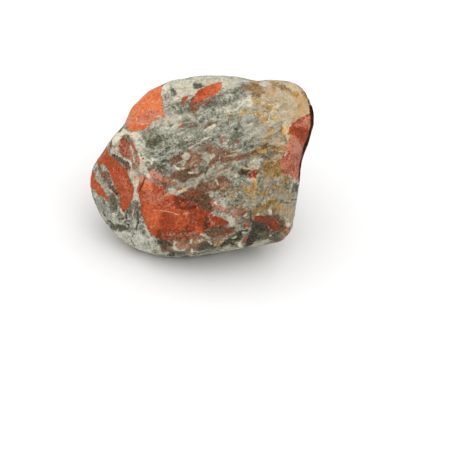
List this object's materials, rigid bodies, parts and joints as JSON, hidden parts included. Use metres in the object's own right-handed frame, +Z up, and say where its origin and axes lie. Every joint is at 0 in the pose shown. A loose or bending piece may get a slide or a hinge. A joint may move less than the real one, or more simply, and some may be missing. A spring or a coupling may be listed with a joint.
{
  "type": "bloodstone specimen",
  "caption": "Rough lump of bloodstone, grey-green stone with red jasper patches, broken nearly flat below so that it rests steadily as a display specimen.",
  "frame": {"origin": "on the table under the middle of the stone's box", "axes": "+Z up from the face that it rests on; +X to the right along its longest way, seen from the broad red-patched face; +Y away from that face, towards the back"},
  "size_m": [0.053, 0.0408, 0.0418],
  "materials": {
    "bloodstone": "dull broken stone, mottled grey-green with red, ochre and cream"
  },
  "bodies": {
    "root": {"bloodstone": "bloodstone"}
  },
  "joints": []
}
